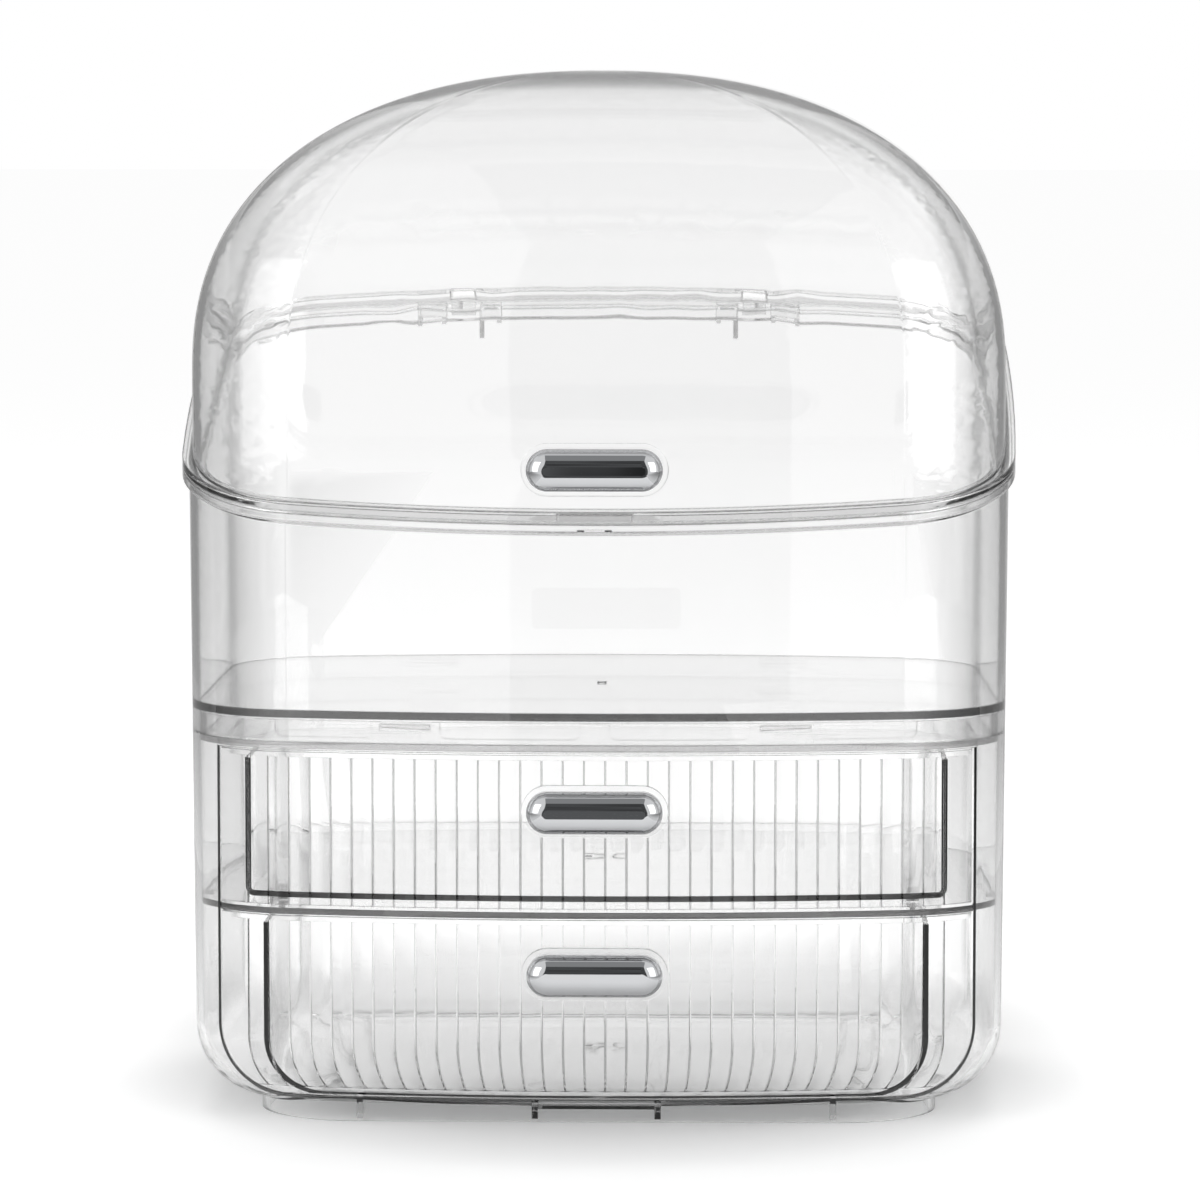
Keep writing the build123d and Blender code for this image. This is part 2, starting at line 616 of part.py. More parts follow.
def make_lid():
    """Domed lid with slanted rim flange, hinge tabs, finger lift and handle pad."""
    rim_low, rim_high = PARTING_MID_Z - RIM_REACH, PARTING_MID_Z + RIM_REACH
    outer = dome_solid(0, rim_low - 1)
    inner = dome_solid(LID_WALL, rim_low - 6)
    lid = (outer - inner) & above_parting(LID_GAP)
    zone = plain_prism(-RIM_PROUD, rim_low, rim_high)
    lift = block(-LIFT_W / 2, LIFT_W / 2, -BODY_HALF_D - RIM_PROUD - LIFT_PROUD, -BODY_HALF_D + 10,
                 rim_low, rim_high)
    lift = fillet(lift.edges().filter_by(Axis.Z).sort_by(Axis.Y)[:2], LIFT_PROUD)
    rim = (zone + lift) & parting_slab(LID_GAP, LID_GAP + LID_RIM_H)
    rim -= dome_solid(LID_WALL / 2, rim_low - 6)
    for side in (-1, 1):
        x = side * HINGE_X
        rim -= block(x - NOTCH_W / 2, x + NOTCH_W / 2, HINGE_WALL_Y + 0.4, BODY_HALF_D + REACH,
                     rim_low, rim_high)
    lid += rim
    for side in (-1, 1):
        lid += hinge_tab(side) - inner
        x = side * HINGE_X
        lid -= rod_x(BAR_D / 2 + BAR_FIT, HINGE_Y, HINGE_Z, x - KNUCKLE_W, x + KNUCKLE_W)
        lid -= block(x - KNUCKLE_W, x + KNUCKLE_W, HINGE_Y - CLIP_MOUTH / 2, HINGE_Y + CLIP_MOUTH / 2,
                     HINGE_Z - 2 * KNUCKLE_R, HINGE_Z)
    return add_pad(lid, -LID_HALF_D, LID_HANDLE_Z)


def front_inset(inset, z, rounded):
    """Inset of the drawer front at a height; a rounded front follows the base of the cabinet."""
    centre = BASE_Z + BASE_FILLET_R
    if not rounded or z >= centre:
        return inset
    return inset + BASE_FILLET_R - math.sqrt(BASE_FILLET_R ** 2 - (centre - z) ** 2)


def front_section(inset, z, rounded, fluted):
    """Plan section of a drawer front at one height, with or without flutes."""
    here = front_inset(inset, z, rounded)
    share = (BODY_HALF_W - here) / (BODY_HALF_W - inset)
    ear = EAR_HALF_W * share
    back = here + DRAWER_FRONT_T
    knee = outline_arcs(BODY_HALF_W - back, BODY_HALF_D - back, FRONT_R - back,
                        SIDE_R - back, CORNER_R - back)[1][0]
    knee_out = outline_arcs(BODY_HALF_W - here, BODY_HALF_D - here, FRONT_R - here,
                            SIDE_R - here, CORNER_R - here)[1][0]
    marks = [(-knee_out, 0), (knee_out, 0)]
    sink = 0
    if fluted:
        marks = []
        sink = FLUTE_SINK
        for i in range(FLUTE_COUNT + 1):
            x = FLUTE_PITCH * (i - FLUTE_COUNT / 2) * share
            marks += [(x - GROOVE_W / 2, FLUTE_DEPTH), (x, GROOVE_DEPTH), (x + GROOVE_W / 2, FLUTE_DEPTH)]
    marks = [(-ear, 0)] + marks + [(ear, 0)]
    edges = []
    for (xa, da), (xb, db) in zip(marks, marks[1:]):
        first = Vector(xa, front_y(xa, here + da), z)
        last = Vector(xb, front_y(xb, here + db), z)
        if GROOVE_DEPTH in (da, db):
            edges.append(Edge.make_line(first, last))
        else:
            xm = (xa + xb) / 2
            crest = Vector(xm, front_y(xm, here + sink), z)
            edges.append(Edge.make_three_point_arc(first, crest, last))
    inner = [Vector(x, front_y(x, back), z)
             for x in (ear, (ear + knee) / 2, knee, 0, -knee, -(ear + knee) / 2, -ear)]
    edges.append(Edge.make_line(Vector(ear, front_y(ear, here), z), inner[0]))
    for i in (0, 2, 4):
        edges.append(Edge.make_three_point_arc(inner[i], inner[i + 1], inner[i + 2]))
    edges.append(Edge.make_line(inner[6], Vector(-ear, front_y(ear, here), z)))
    return Face(Wire(edges))


def fluted_front(inset, z0, z1, rounded, cut):
    """Bowed drawer front with upright flutes between grooves and plain ears, flush with the cabinet."""
    flute_top = z1 - FLUTE_TOP_BAND
    centre = BASE_Z + BASE_FILLET_R
    low = centre if rounded else z0
    panel = extrude(front_section(inset, low, rounded, True), flute_top - low, dir=(0, 0, 1))
    panel += extrude(front_section(inset, flute_top, rounded, False), FLUTE_TOP_BAND, dir=(0, 0, 1))
    if rounded:
        steps = [LOWER_FLUTE_Z, 15.0, 19.0, 24.0, centre]
        panel += loft([front_section(inset, z, True, True) for z in steps])
        steps = [z0, (z0 + LOWER_FLUTE_Z) / 2, LOWER_FLUTE_Z]
        panel += loft([front_section(inset, z, True, False) for z in steps])
    return panel & cut


def drawer_box(half_w, z0, z1, floor_t, bottom_r, back_r, rounded):
    """Open box behind the front; its front wall follows the bow of the cabinet."""

    def bow(inset):
        if rounded:
            return rounded_tub(inset, BASE_Z + inset, z1 + 30, BASE_FILLET_R - inset)
        return plan_prism(inset, z0 - 5, z1 + 30)

    def solid(shrink, low, high, radius):
        back = drawer_back_y() - shrink
        front = -BODY_HALF_D - 10
        flat = Pos(0, (back + front) / 2) * Rectangle(2 * (half_w - shrink), back - front)
        flat = fillet(flat.vertices().sort_by(Axis.Y)[2:], back_r - shrink)
        body = extrude(Pos(0, 0, low) * flat, high - low)
        bottom = body.faces().sort_by(Axis.Z)[0]
        chain = bottom.edges().sort_by(Axis.Y)[1:]
        return fillet(chain, radius)

    outer = solid(0, z0, z1, bottom_r) & bow(BOX_SINK)
    cavity = solid(DRAWER_WALL, z0 + floor_t, z1 + 20, max(bottom_r - DRAWER_WALL, 1.0))
    return outer, cavity & bow(DRAWER_FRONT_T)


def make_drawer(front_z, half_w, floor_z, floor_t, box_top, bottom_r, back_r, rest_z, runner_x,
                handle_z, inset, rounded):
    """Complete drawer: fluted front, box, runners, stop tabs and handle pad."""
    cut = opening_solid(FRONT_CORNER_GAP, OPENING_TOP_Z)
    back = drawer_back_y()
    front = fluted_front(inset, front_z[0], front_z[1], rounded, cut)
    outer, cavity = drawer_box(half_w, floor_z, box_top, floor_t, bottom_r, back_r, rounded)
    drawer = front + outer - cavity
    for side in (-1, 1):
        x = side * runner_x
        drawer += block(x - RUNNER_T / 2, x + RUNNER_T / 2, RUNNER_FRONT_Y, back - RUNNER_BACK_IN,
                        rest_z + RUN_GAP, floor_z + 0.5)
        x0, x1 = stop_span(half_w, back_r, STOP_TAB_W, side)
        drawer += block(x0, x1, back - DRAWER_WALL, back, box_top - 1, front_z[1] - 0.2)
    floor_top = floor_z + floor_t
    ring = Cylinder(GATE_RING_R, 0.6) - Cylinder(GATE_RING_R - GATE_RING_T, 0.6)
    drawer += Pos(0, 0, floor_top + 0.1) * (ring + Cylinder(1.2, 0.6))
    return add_pad(drawer, -BODY_HALF_D + inset, handle_z)


def main():
    os.makedirs("parts", exist_ok=True)
    upper_inset = draft_inset(sum(UPPER_FRONT_Z) / 2)
    lower_inset = draft_inset(sum(LOWER_FRONT_Z) / 2)
    upper = make_drawer(UPPER_FRONT_Z, UPPER_BOX_HALF_W, UPPER_FLOOR_Z, UPPER_FLOOR_T, UPPER_BOX_TOP_Z,
                        UPPER_BOTTOM_R, UPPER_BACK_R, SHELF_TOP_Z, UPPER_BOX_HALF_W - UPPER_RUNNER_IN,
                        UPPER_HANDLE_Z, upper_inset, False)
    lower = make_drawer(LOWER_FRONT_Z, LOWER_BOX_HALF_W, LOWER_FLOOR_Z, LOWER_FLOOR_T, LOWER_BOX_TOP_Z,
                        LOWER_BOTTOM_R, LOWER_BACK_R, OPENING_BOTTOM_Z,
                        LOWER_BOX_HALF_W - LOWER_RUNNER_IN, LOWER_HANDLE_Z, lower_inset, True)
    pieces = {
        "cabinet_shell": make_cabinet_shell(),
        "drawer_shelf": make_shelf(),
        "top_deck": make_top_deck(),
        "tray": make_tray(),
        "lid_dome": make_lid(),
        "lid_handle": make_handle(-LID_HALF_D, LID_HANDLE_Z),
        "upper_drawer": upper,
        "upper_drawer_handle": make_handle(-BODY_HALF_D + upper_inset, UPPER_HANDLE_Z),
        "lower_drawer": lower,
        "lower_drawer_handle": make_handle(-BODY_HALF_D + lower_inset, LOWER_HANDLE_Z),
    }
    for name, piece in pieces.items():
        export_step(piece, f"parts/{name}.step")


main()
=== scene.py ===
import math

import bpy
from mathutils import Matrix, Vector


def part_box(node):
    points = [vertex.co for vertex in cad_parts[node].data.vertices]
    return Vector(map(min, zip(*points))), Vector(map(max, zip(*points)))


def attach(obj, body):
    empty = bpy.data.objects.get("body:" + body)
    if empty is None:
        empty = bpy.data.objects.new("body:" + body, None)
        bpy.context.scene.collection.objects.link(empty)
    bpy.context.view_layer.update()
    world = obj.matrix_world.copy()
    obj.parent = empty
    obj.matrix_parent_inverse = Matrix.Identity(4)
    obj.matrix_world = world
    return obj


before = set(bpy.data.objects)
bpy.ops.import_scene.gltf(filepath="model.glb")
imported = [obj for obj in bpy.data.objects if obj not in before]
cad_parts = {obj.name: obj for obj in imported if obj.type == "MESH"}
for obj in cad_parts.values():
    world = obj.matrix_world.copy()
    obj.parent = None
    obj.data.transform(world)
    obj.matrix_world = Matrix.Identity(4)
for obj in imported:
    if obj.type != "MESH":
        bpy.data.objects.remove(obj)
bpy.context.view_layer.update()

# Metres, +Z up, front toward -Y, as in the frame.
MM = 0.001

# Camera of the photograph: long lens, a little above the object and a touch to its right
CAMERA_DISTANCE = 2.2
CAMERA_HEIGHT = 0.373
CAMERA_AZIMUTH = 1.4
AIM_X = -0.0007
AIM_HEIGHT = 0.1674
SENSOR_WIDTH = 36.0
LENS = 192.7

# Bounces of light through the many clear walls
CLEAR_BOUNCES = 64
MIRROR_BOUNCES = 16

# Blank label plate on the tray front
LABEL_X = 3.8 * MM
LABEL_Z = 174.0 * MM
LABEL_WIDTH = 49.0 * MM
LABEL_HEIGHT = 13.5 * MM
LABEL_CORNER = 1.5 * MM
LABEL_CORNER_STEPS = 5
LABEL_THICKNESS = 0.12 * MM
LABEL_LIFT = 0.03 * MM
LABEL_START = 20.0 * MM          # in front of the tray, before the plate is laid on it
LABEL_COLUMNS = 24
LABEL_ROWS = 6
AT_BORDER = 0.499                # share of the plate's size past which a point is on its border
SMOOTH_ANGLE = 32.0

# Clear plastic: how it bends light and how much it takes away, per piece
STYRENE_IOR = 1.55
STYRENE_DENSITY = 105.0
DECK_DENSITY = 30.0
DOME_DENSITY = 60.0

# Radius that the Bevel node gives the moulded edges, and the rims of tray and lid
EDGE_RADIUS = 0.3 * MM
RIM_RADIUS = 0.6 * MM
EDGE_SAMPLES = 4

# Painted shade: clear walls are painted grey where they curve out of sight: from which share of
# grazing, and to what grey
GRAZING_START = 0.6
PAINTED_GRAZING_SHADE = "#747575"

# Clear film of the label
FILM_IOR = 1.5
FILM_ROUGHNESS = 0.05

# Plated pulls
CHROME_ROUGHNESS = 0.03

# Feathered grey cards: how steeply they darken from the edge, and how bright their middle is
FLAG_FEATHER = 3.0
SIDE_FLAG = 0.3
BACK_FLAG = 0.4
OVER_FLAG = 0.65

# Charcoal wall behind the camera: its size, its mottle as a share of its brightness, how fine
# the mottle is per metre, and the part of the noise that it uses
WALL_SIZE = (1.1, 3.8)
MOTTLE_DARK = 0.3
MOTTLE_LIGHT = 1.6
MOTTLE_SCALE = 9.0
MOTTLE_DETAIL = 1.0
MOTTLE_FROM = 0.35
MOTTLE_TO = 0.65

# White table that ends short of the camera, a hair under the foot, and its glow with distance
TABLE_WIDTH = 16.0
TABLE_FRONT_Y = -0.8
TABLE_BACK_Y = 12.0
TABLE_DROP = 0.2 * MM
TABLE_GLOW_NEAR = 0.47
TABLE_GLOW_FAR = 0.66
TABLE_GLOW_NEAR_R = 0.4
TABLE_GLOW_FAR_R = 2.4

# Painted shadow on the table's glow: its middle, where it starts to fade and ends, how bright it is,
# and how much narrower it is from side to side than from front to back
PAINTED_SHADOW_Y = 0.1
PAINTED_SHADOW_NEAR_R = 0.2
PAINTED_SHADOW_FAR_R = 0.275
PAINTED_SHADOW_LEVEL = 0.4
PAINTED_SHADOW_STRETCH = 1.5

# Soft fill of the surround on things, and its white where it is seen
FILL = 0.35
SEEN = 1.0


def linear(hex_colour):
    """sRGB hex colour as linear RGBA."""
    parts = [int(hex_colour[i:i + 2], 16) / 255 for i in (1, 3, 5)]
    return [c / 12.92 if c <= 0.04045 else ((c + 0.055) / 1.055) ** 2.4 for c in parts] + [1.0]


def add_node(tree, kind, settings=None, links=None):
    """Node of a kind with its settings, and its inputs linked from other sockets. An input goes
    by its name or, where names repeat, by its number."""
    node = tree.nodes.new(kind)
    for name, value in (settings or {}).items():
        if isinstance(name, int) or name in node.inputs:
            node.inputs[name].default_value = value
        else:
            setattr(node, name, value)
    for name, socket in (links or {}).items():
        tree.links.new(socket, node.inputs[name])
    return node


def new_material(name):
    """Empty node material with its output."""
    material = bpy.data.materials.new(name)
    material.use_nodes = True
    tree = material.node_tree
    tree.nodes.clear()
    output = add_node(tree, "ShaderNodeOutputMaterial")
    return material, tree, output


def clear_moulded_styrene(name, density, radius=EDGE_RADIUS, domed=False):
    """Clear polystyrene, injection moulded against a polished tool: colourless and mirror smooth.
    A little light is lost along the wall, so edges and slabs seen end on turn grey, and the small
    radius that the tool leaves on every edge draws a thin dark line there. Walls, and the whole of
    a dome, have an outline of painted shade: the base colour is painted grey where they curve away."""
    material, tree, output = new_material(name)
    # Painted shade: the base colour is mixed toward grey as the surface grazes the view, on upright
    # walls only unless domed
    weight = add_node(tree, "ShaderNodeLayerWeight", {"Blend": 0.5})
    grazing = add_node(tree, "ShaderNodeMapRange", {"From Min": GRAZING_START},
                       {"Value": weight.outputs["Facing"]})
    outline = grazing.outputs[0]
    if not domed:
        shape = add_node(tree, "ShaderNodeNewGeometry")
        axes = add_node(tree, "ShaderNodeSeparateXYZ", links={0: shape.outputs["Normal"]})
        level_face = add_node(tree, "ShaderNodeMath", {"operation": "ABSOLUTE"},
                              {0: axes.outputs["Z"]})
        upright = add_node(tree, "ShaderNodeMapRange", {"To Min": 1.0, "To Max": 0.0},
                           {"Value": level_face.outputs[0]})
        walls_only = add_node(tree, "ShaderNodeMath", {"operation": "MULTIPLY"},
                              {0: outline, 1: upright.outputs[0]})
        outline = walls_only.outputs[0]
    painted_shade_mix = add_node(tree, "ShaderNodeMix",
                    {"data_type": "RGBA", 6: linear("#FEFEFE"), 7: linear(PAINTED_GRAZING_SHADE)},
                    {0: outline})
    edge = add_node(tree, "ShaderNodeBevel", {"samples": EDGE_SAMPLES, "Radius": radius})
    gloss = add_node(tree, "ShaderNodeBsdfPrincipled", {
        "Roughness": 0.0, "IOR": STYRENE_IOR, "Transmission Weight": 1.0},
        {"Base Color": painted_shade_mix.outputs[2], "Normal": edge.outputs[0]})
    depth = add_node(tree, "ShaderNodeVolumeAbsorption", {
        "Color": linear("#F4F4F4"), "Density": density})
    path = add_node(tree, "ShaderNodeLightPath")
    shade = add_node(tree, "ShaderNodeBsdfTransparent", {"Color": linear("#DCDDDD")})
    surface = add_node(tree, "ShaderNodeMixShader", links={
        0: path.outputs["Is Shadow Ray"], 1: gloss.outputs[0], 2: shade.outputs[0]})
    tree.links.new(surface.outputs[0], output.inputs["Surface"])
    tree.links.new(depth.outputs[0], output.inputs["Volume"])
    return material


def bright_chrome_plate():
    """Chrome on a plastic moulding, electroplated: a bright neutral mirror."""
    material, tree, output = new_material("bright_chrome_plate")
    plate = add_node(tree, "ShaderNodeBsdfPrincipled", {
        "Base Color": linear("#C6C7C9"), "Metallic": 1.0, "Roughness": CHROME_ROUGHNESS})
    tree.links.new(plate.outputs[0], output.inputs["Surface"])
    return material


def clear_label_film():
    """Clear vinyl film with a gloss face, cut and stuck on: barely seen but for its edge."""
    material, tree, output = new_material("clear_label_film")
    film = add_node(tree, "ShaderNodeBsdfPrincipled", {
        "Base Color": linear("#FAFAFA"), "Roughness": FILM_ROUGHNESS, "IOR": FILM_IOR,
        "Transmission Weight": 1.0})
    tree.links.new(film.outputs[0], output.inputs["Surface"])
    return material


def seen_directly(tree):
    """1 for rays from the camera, from metal and through glass, 0 for light that falls on things."""
    path = add_node(tree, "ShaderNodeLightPath")
    first = add_node(tree, "ShaderNodeMath", {"operation": "MAXIMUM"},
                     {0: path.outputs["Is Camera Ray"], 1: path.outputs["Is Transmission Ray"]})
    both = add_node(tree, "ShaderNodeMath", {"operation": "MAXIMUM"},
                    {0: first.outputs[0], 1: path.outputs["Is Glossy Ray"]})
    return both.outputs[0]


def pale_table():
    """Matt white studio table: shows white to the camera and in glass, and keeps the shadow.
    Its glow grows away from the object, where the soft boxes light it less, and a painted shadow
    darkens it under and behind the object, where little light gets in."""
    material, tree, output = new_material("pale_table")
    matt = add_node(tree, "ShaderNodeBsdfDiffuse", {"Color": linear("#F4F4F4")})
    place = add_node(tree, "ShaderNodeTexCoord")
    away = add_node(tree, "ShaderNodeVectorMath", {"operation": "LENGTH"},
                    {0: place.outputs["Object"]})
    level = add_node(tree, "ShaderNodeMapRange", {
        "From Min": TABLE_GLOW_NEAR_R, "From Max": TABLE_GLOW_FAR_R,
        "To Min": TABLE_GLOW_NEAR, "To Max": TABLE_GLOW_FAR}, {"Value": away.outputs["Value"]})
    # Painted shadow: the glow is darkened in an oval centred a little behind the object
    behind = add_node(tree, "ShaderNodeVectorMath", {
        "operation": "SUBTRACT", 1: (0.0, PAINTED_SHADOW_Y, 0.0)}, {0: place.outputs["Object"]})
    stretch = add_node(tree, "ShaderNodeVectorMath", {
        "operation": "MULTIPLY", 1: (PAINTED_SHADOW_STRETCH, 1.0, 1.0)}, {0: behind.outputs[0]})
    near = add_node(tree, "ShaderNodeVectorMath", {"operation": "LENGTH"}, {0: stretch.outputs[0]})
    painted_shadow = add_node(tree, "ShaderNodeMapRange", {
        "From Min": PAINTED_SHADOW_NEAR_R, "From Max": PAINTED_SHADOW_FAR_R,
        "To Min": PAINTED_SHADOW_LEVEL, "To Max": 1.0}, {"Value": near.outputs["Value"]})
    glowing = add_node(tree, "ShaderNodeMath", {"operation": "MULTIPLY"},
                       {0: level.outputs[0], 1: painted_shadow.outputs[0]})
    strength = add_node(tree, "ShaderNodeMath", {"operation": "MULTIPLY"},
                        {0: glowing.outputs[0], 1: seen_directly(tree)})
    glow = add_node(tree, "ShaderNodeEmission", {"Color": linear("#FFFFFF")},
                    {"Strength": strength.outputs[0]})
    both = add_node(tree, "ShaderNodeAddShader", links={0: matt.outputs[0], 1: glow.outputs[0]})
    tree.links.new(both.outputs[0], output.inputs["Surface"])
    return material


def soft_grey_flag(middle):
    """Grey card with a feathered edge beside the set: curved clear walls bend it into their
    outline. Its brightness falls from 1 at the edge to a given value in the middle."""
    material, tree, output = new_material("soft_grey_flag")
    place = add_node(tree, "ShaderNodeTexCoord")
    axes = add_node(tree, "ShaderNodeSeparateXYZ", links={0: place.outputs["Object"]})
    across, along = (add_node(tree, "ShaderNodeMath", {"operation": "ABSOLUTE"},
                              {0: axes.outputs[axis]}) for axis in ("X", "Y"))
    edge = add_node(tree, "ShaderNodeMath", {"operation": "MAXIMUM"},
                    {0: across.outputs[0], 1: along.outputs[0]})
    share = add_node(tree, "ShaderNodeMath", {"operation": "MULTIPLY", 1: 2.0},
                     {0: edge.outputs[0]})
    fall = add_node(tree, "ShaderNodeMath", {"operation": "POWER", 1: FLAG_FEATHER},
                    {0: share.outputs[0]})
    level = add_node(tree, "ShaderNodeMapRange", {"To Min": middle, "To Max": 1.0},
                     {"Value": fall.outputs[0]})
    card = add_node(tree, "ShaderNodeEmission", {"Color": linear("#FFFFFF")},
                    {"Strength": level.outputs[0]})
    tree.links.new(card.outputs[0], output.inputs["Surface"])
    return material


def charcoal_wall():
    """Painted charcoal wall behind the camera, dimly and unevenly lit, so plated pieces show
    soft darker and lighter patches."""
    material, tree, output = new_material("charcoal_wall")
    place = add_node(tree, "ShaderNodeTexCoord")
    metres = add_node(tree, "ShaderNodeVectorMath", {
        "operation": "MULTIPLY", 1: (*WALL_SIZE, 1.0)}, {0: place.outputs["Object"]})
    mottle = add_node(tree, "ShaderNodeTexNoise", {
        "Scale": MOTTLE_SCALE, "Detail": MOTTLE_DETAIL}, {"Vector": metres.outputs[0]})
    level = add_node(tree, "ShaderNodeMapRange", {
        "interpolation_type": "SMOOTHSTEP", "From Min": MOTTLE_FROM, "From Max": MOTTLE_TO,
        "To Min": MOTTLE_DARK, "To Max": MOTTLE_LIGHT}, {"Value": mottle.outputs[0]})
    paint = add_node(tree, "ShaderNodeEmission", {"Color": linear("#555657")},
                     {"Strength": level.outputs[0]})
    tree.links.new(paint.outputs[0], output.inputs["Surface"])
    return material


def grey_ceiling_card():
    """Grey card over the front of the set, a little lighter than the wall behind the camera."""
    material, tree, output = new_material("grey_ceiling_card")
    card = add_node(tree, "ShaderNodeEmission", {"Color": linear("#A0A1A2"), "Strength": 1.0})
    tree.links.new(card.outputs[0], output.inputs["Surface"])
    return material


def deselect_all():
    """Leaves nothing selected, so that an operator acts on the new object alone."""
    for thing in bpy.context.selected_objects:
        thing.select_set(False)


def finish_piece(node_name, material):
    """Gives one CAD piece its finish, in its own material slots."""
    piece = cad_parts[node_name]
    piece.data.materials.clear()
    piece.data.materials.append(material)


def label_plate(tray, material):
    """Blank clear label with rounded corners that lies on the bowed front of the tray."""
    deselect_all()
    low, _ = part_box("tray")
    bpy.ops.mesh.primitive_grid_add(size=1.0, x_subdivisions=LABEL_COLUMNS,
                                    y_subdivisions=LABEL_ROWS,
                                    location=(LABEL_X, low.y - LABEL_START, LABEL_Z),
                                    rotation=(math.radians(90), 0, 0))
    label = bpy.context.active_object
    label.name = "label_plate"
    label.scale = (LABEL_WIDTH, LABEL_HEIGHT, 1.0)
    bpy.ops.object.transform_apply(location=True, rotation=True, scale=True)
    bpy.ops.object.mode_set(mode="EDIT")
    bpy.ops.mesh.select_mode(type="VERT")
    bpy.ops.mesh.select_all(action="DESELECT")
    bpy.ops.object.mode_set(mode="OBJECT")
    for vertex in label.data.vertices:
        at_end = abs(vertex.co.x - LABEL_X) > AT_BORDER * LABEL_WIDTH
        at_edge = abs(vertex.co.z - LABEL_Z) > AT_BORDER * LABEL_HEIGHT
        vertex.select = at_end and at_edge
    bpy.ops.object.mode_set(mode="EDIT")
    bpy.ops.mesh.bevel(offset=LABEL_CORNER, segments=LABEL_CORNER_STEPS, affect="VERTICES")
    bpy.ops.object.mode_set(mode="OBJECT")
    wrap = label.modifiers.new("lie_on_tray", "SHRINKWRAP")
    wrap.target = tray
    wrap.wrap_method = "PROJECT"
    wrap.use_project_y = True
    wrap.use_project_z = False
    wrap.use_positive_direction = True
    wrap.use_negative_direction = False
    wrap.offset = LABEL_LIFT
    bpy.ops.object.modifier_apply(modifier=wrap.name)
    film = label.modifiers.new("film", "SOLIDIFY")
    film.thickness = LABEL_THICKNESS
    film.offset = 1.0
    bpy.ops.object.modifier_apply(modifier=film.name)
    bpy.ops.object.shade_smooth_by_angle(angle=math.radians(SMOOTH_ANGLE))
    label.data.materials.append(material)
    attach(label, "cabinet")


def lay_table():
    """Plain table top that the object stands on, with its front edge short of the camera."""
    deselect_all()
    bpy.ops.mesh.primitive_plane_add(size=1.0, location=(0, 0, 0))
    table = bpy.context.active_object
    table.name = "studio_table"
    table.scale = (TABLE_WIDTH, TABLE_BACK_Y - TABLE_FRONT_Y, 1.0)
    table.location = (0, (TABLE_BACK_Y + TABLE_FRONT_Y) / 2, -TABLE_DROP)
    bpy.ops.object.transform_apply(location=True, rotation=True, scale=True)
    table.data.materials.append(pale_table())


def hang_flag(name, size, at, facing, cloth, through_glass=True):
    """Card that faces a point: shows in gloss and plating, through glass if asked, not directly."""
    deselect_all()
    bpy.ops.mesh.primitive_plane_add(size=1.0, location=at)
    flag = bpy.context.active_object
    flag.name = name
    flag.scale = (*size, 1.0)
    flag.rotation_euler = (Vector(facing) - Vector(at)).to_track_quat("Z", "Y").to_euler()
    flag.data.materials.append(cloth)
    flag.visible_camera = False
    flag.visible_diffuse = False
    flag.visible_shadow = False
    flag.visible_transmission = through_glass


def place_lamp(name, size, at, facing, watts):
    """Rectangular soft box that faces a point."""
    light = bpy.data.lights.new(name, "AREA")
    light.shape = "RECTANGLE"
    light.size, light.size_y = size
    light.energy = watts
    lamp = bpy.data.objects.new(name, light)
    bpy.context.scene.collection.objects.link(lamp)
    lamp.location = at
    lamp.rotation_euler = (Vector(facing) - Vector(at)).to_track_quat("-Z", "Y").to_euler()


def white_surround():
    """World: white to the camera, in metal and through glass, and a plain soft fill on the rest."""
    world = bpy.data.worlds.new("studio_surround")
    world.use_nodes = True
    bpy.context.scene.world = world
    tree = world.node_tree
    tree.nodes.clear()
    output = add_node(tree, "ShaderNodeOutputWorld")
    fill, seen = (add_node(tree, "ShaderNodeBackground", {
        "Color": linear("#FFFFFF"), "Strength": strength}) for strength in (FILL, SEEN))
    mix = add_node(tree, "ShaderNodeMixShader", links={
        0: seen_directly(tree), 1: fill.outputs[0], 2: seen.outputs[0]})
    tree.links.new(mix.outputs[0], output.inputs["Surface"])


def set_camera():
    """Camera at the photograph's angle, aimed near the middle of the object."""
    camera_data = bpy.data.cameras.new("photo_camera")
    camera = bpy.data.objects.new("photo_camera", camera_data)
    bpy.context.scene.collection.objects.link(camera)
    turn = math.radians(CAMERA_AZIMUTH)
    camera.location = (CAMERA_DISTANCE * math.sin(turn), -CAMERA_DISTANCE * math.cos(turn),
                       CAMERA_HEIGHT)
    aim = Vector((AIM_X, 0, AIM_HEIGHT)) - camera.location
    camera.rotation_euler = aim.to_track_quat("-Z", "Y").to_euler()
    camera_data.sensor_width = SENSOR_WIDTH
    camera_data.lens = LENS
    bpy.context.scene.camera = camera


scene = bpy.context.scene
scene.view_settings.view_transform = "Standard"
scene.cycles.max_bounces = CLEAR_BOUNCES
scene.cycles.transmission_bounces = CLEAR_BOUNCES
scene.cycles.transparent_max_bounces = CLEAR_BOUNCES
scene.cycles.glossy_bounces = MIRROR_BOUNCES

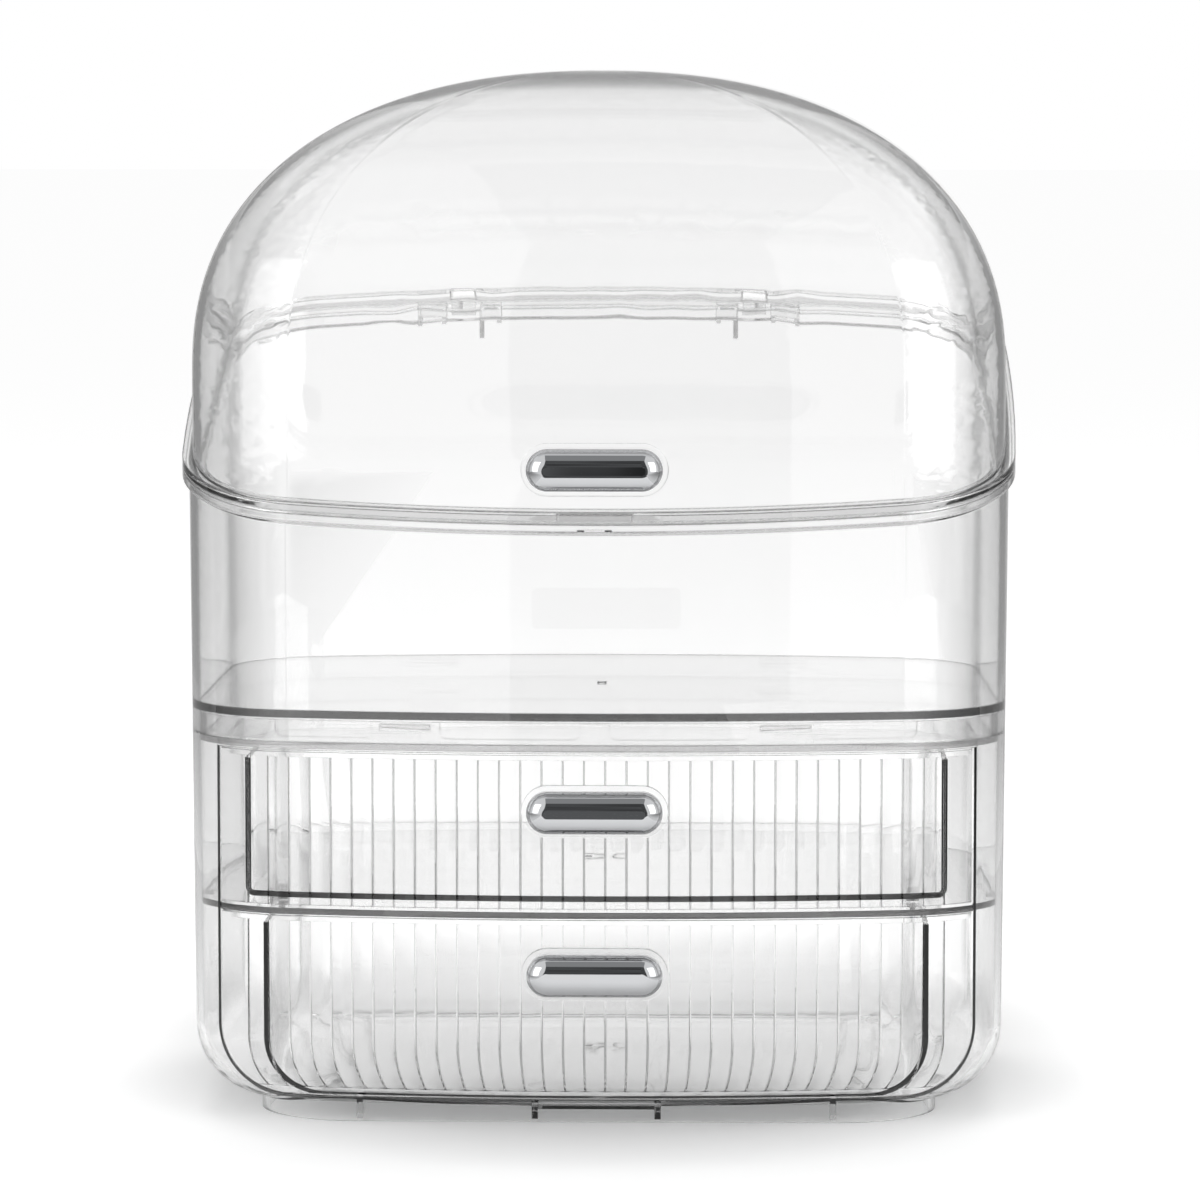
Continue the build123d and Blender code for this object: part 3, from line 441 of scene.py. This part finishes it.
# Finish of every CAD piece
styrene = clear_moulded_styrene("clear_moulded_styrene", STYRENE_DENSITY)
thin_styrene = clear_moulded_styrene("thin_moulded_styrene", DECK_DENSITY)
rimmed_styrene = clear_moulded_styrene("rimmed_moulded_styrene", STYRENE_DENSITY, RIM_RADIUS)
domed_styrene = clear_moulded_styrene("domed_moulded_styrene", DOME_DENSITY, RIM_RADIUS, domed=True)
chrome = bright_chrome_plate()
for material, pieces in (
        (styrene, ("cabinet_shell", "drawer_shelf", "upper_drawer", "lower_drawer")),
        (thin_styrene, ("top_deck",)),
        (rimmed_styrene, ("tray",)),
        (domed_styrene, ("lid_dome",)),
        (chrome, ("lid_handle", "upper_drawer_handle", "lower_drawer_handle"))):
    for piece_name in pieces:
        finish_piece(piece_name, material)
label_plate(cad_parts["tray"], clear_label_film())

# Studio: table, cards that draw the outlines, soft boxes and surround
lay_table()
hang_flag("dark_front", size=WALL_SIZE, at=(0.15, -2.8, 0.7), facing=(0.15, 0, 0.7),
          cloth=charcoal_wall(), through_glass=False)
hang_flag("grey_ceiling", size=(1.1, 2.4), at=(0.15, -1.6, 2.6), facing=(0.15, -1.6, 0),
          cloth=grey_ceiling_card(), through_glass=False)
for side, name in ((-1, "left"), (1, "right")):
    hang_flag(f"{name}_flag", size=(2.4, 2.2), at=(side * 1.0, 0.8, 0.4), facing=(0, 0, 0.4),
              cloth=soft_grey_flag(SIDE_FLAG))
    hang_flag(f"{name}_table_card", size=(2.6, 4.0), at=(side * 1.5, 0.8, 0.004),
              facing=(side * 1.5, 0.8, 1.0), cloth=soft_grey_flag(SIDE_FLAG))
    hang_flag(f"{name}_near_flag", size=(0.7, 0.5), at=(side * 0.5, 0.35, 0.25),
              facing=(0, 0, 0.25), cloth=soft_grey_flag(SIDE_FLAG), through_glass=False)
    place_lamp(f"{name}_soft_box", size=(1.5, 1.4), at=(side * 1.5, -1.2, 0.75),
               facing=(0, 0, 0.2), watts=11.0)
hang_flag("back_flag", size=(3.0, 1.3), at=(0, 1.6, 1.02), facing=(0, 0, 1.02),
          cloth=soft_grey_flag(BACK_FLAG))
hang_flag("over_flag", size=(1.9, 1.2), at=(0, 0.35, 1.35), facing=(0, 0, 0.2),
          cloth=soft_grey_flag(OVER_FLAG))
place_lamp("top_soft_box", size=(1.4, 1.0), at=(0, 0.7, 1.7), facing=(0, 0, 0.1), watts=12.0)
white_surround()
set_camera()
